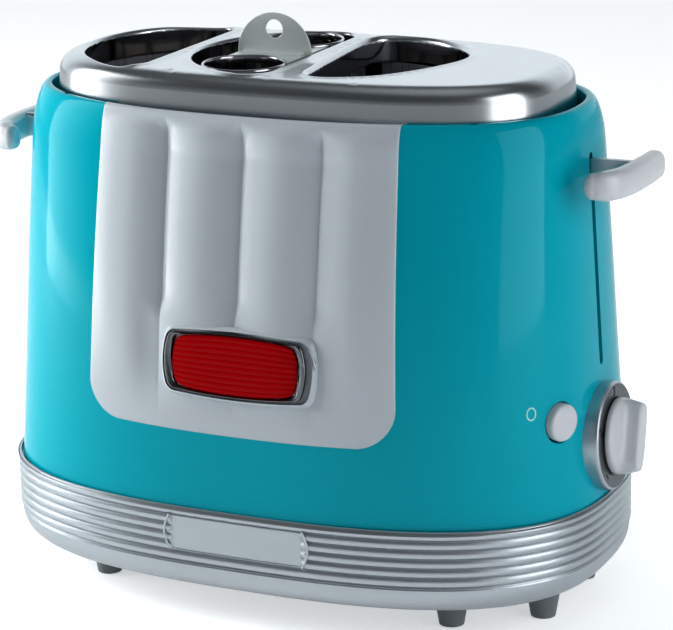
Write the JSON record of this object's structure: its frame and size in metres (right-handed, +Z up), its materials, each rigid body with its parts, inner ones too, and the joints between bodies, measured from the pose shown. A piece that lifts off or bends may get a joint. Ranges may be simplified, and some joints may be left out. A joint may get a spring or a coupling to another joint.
{
  "type": "hot dog maker",
  "caption": "Pop-up hot dog maker with curved bun wells, a lift-out sausage basket, lever paddles at the ends, a browning dial, a stop button and a slide-out crumb tray.",
  "frame": {"origin": "on the table under the middle of the housing, at the pads' lower faces", "axes": "+X towards the end with the dial, -Y towards the front with the fluted panel, +Z up"},
  "size_m": [0.2954, 0.1739, 0.2412],
  "materials": {
    "body_gloss": "gloss",
    "panel_white": "gloss",
    "plinth_silver": "satin silver",
    "cover_steel": "polished",
    "well_steel": "brushed",
    "basket_steel": "satin",
    "chassis_steel": "plain",
    "screw_steel": "plain",
    "white_gloss": "gloss",
    "badge_chrome": "polished",
    "badge_red": "gloss",
    "base_dark": "satin",
    "pad_rubber": "matt",
    "mica": "matt",
    "heater_wire": "oxidised",
    "black_plastic": "matt",
    "bush_plastic": "matt",
    "shaft_steel": "turned",
    "board_green": "matt",
    "coil_copper": "wound"
  },
  "bodies": {
    "housing": {"badge_frame": "badge_chrome", "badge_insert": "badge_red", "base_plinth": "plinth_silver", "base_screws": "screw_steel", "board_bracket": "chassis_steel", "bottom_plate": "base_dark", "bun_liner_left": "well_steel", "bun_liner_right": "well_steel", "chassis_floor": "chassis_steel", "control_board": "board_green", "cord_gland": "black_plastic", "cover_shelf": "chassis_steel", "dial_ring": "plinth_silver", "electromagnet_coil": "coil_copper", "electromagnet_core": "chassis_steel", "feet": "base_dark", "foot_pads": "pad_rubber", "front_panel": "panel_white", "guard_wires": "well_steel", "guide_rods": "chassis_steel", "heater_board_left": "mica", "heater_board_right": "mica", "heater_bridges": "chassis_steel", "heater_ribbons": "heater_wire", "housing_front": "body_gloss", "housing_rear": "body_gloss", "housing_screws": "screw_steel", "microswitch": "black_plastic", "nameplate": "plinth_silver", "return_springs": "chassis_steel", "sausage_end_walls": "well_steel", "switch_bracket": "chassis_steel", "terminal_block": "black_plastic", "timer_body": "black_plastic", "top_cover": "cover_steel", "tray_rails": "chassis_steel"},
    "carriage": {"carriage_ring": "chassis_steel", "carriage_bushes": "bush_plastic", "bun_rack_left": "well_steel", "bun_rack_right": "well_steel", "sausage_platform": "well_steel", "lever_arms": "chassis_steel", "lever_left": "white_gloss", "lever_right": "white_gloss", "latch_armature": "chassis_steel"},
    "basket": {"basket_rings": "basket_steel", "basket_wires": "basket_steel", "basket_floors": "basket_steel", "basket_handle": "basket_steel"},
    "knob": {"timer_knob": "white_gloss", "timer_shaft": "shaft_steel"},
    "button": {"stop_button": "white_gloss"},
    "tray": {"crumb_tray": "base_dark"}
  },
  "joints": [
    {"name": "carriage_slide", "type": "slide", "parent": "housing", "child": "carriage", "axis": [0, 0, -1], "range_m": [0, 0.078], "stiffness_N_per_m": 90, "springref_m": -0.08, "deforming": ["return_springs"]},
    {"name": "basket_lift", "type": "slide", "parent": "carriage", "child": "basket", "axis": [0, 0, 1], "range_m": [0, 0.11]},
    {"name": "knob_turn", "type": "hinge", "parent": "housing", "child": "knob", "pos_m": [0.12992, -0.0015, 0.074], "axis": [0.9982, 0, 0.0599], "range_deg": [-125, 125]},
    {"name": "button_press", "type": "slide", "parent": "housing", "child": "button", "axis": [-0.9241, 0.3822, 0], "range_m": [0, 0.0025], "stiffness_N_per_m": 400, "springref_m": -0.004},
    {"name": "tray_slide", "type": "slide", "parent": "housing", "child": "tray", "axis": [0, 1, 0], "range_m": [0, 0.12]}
  ]
}
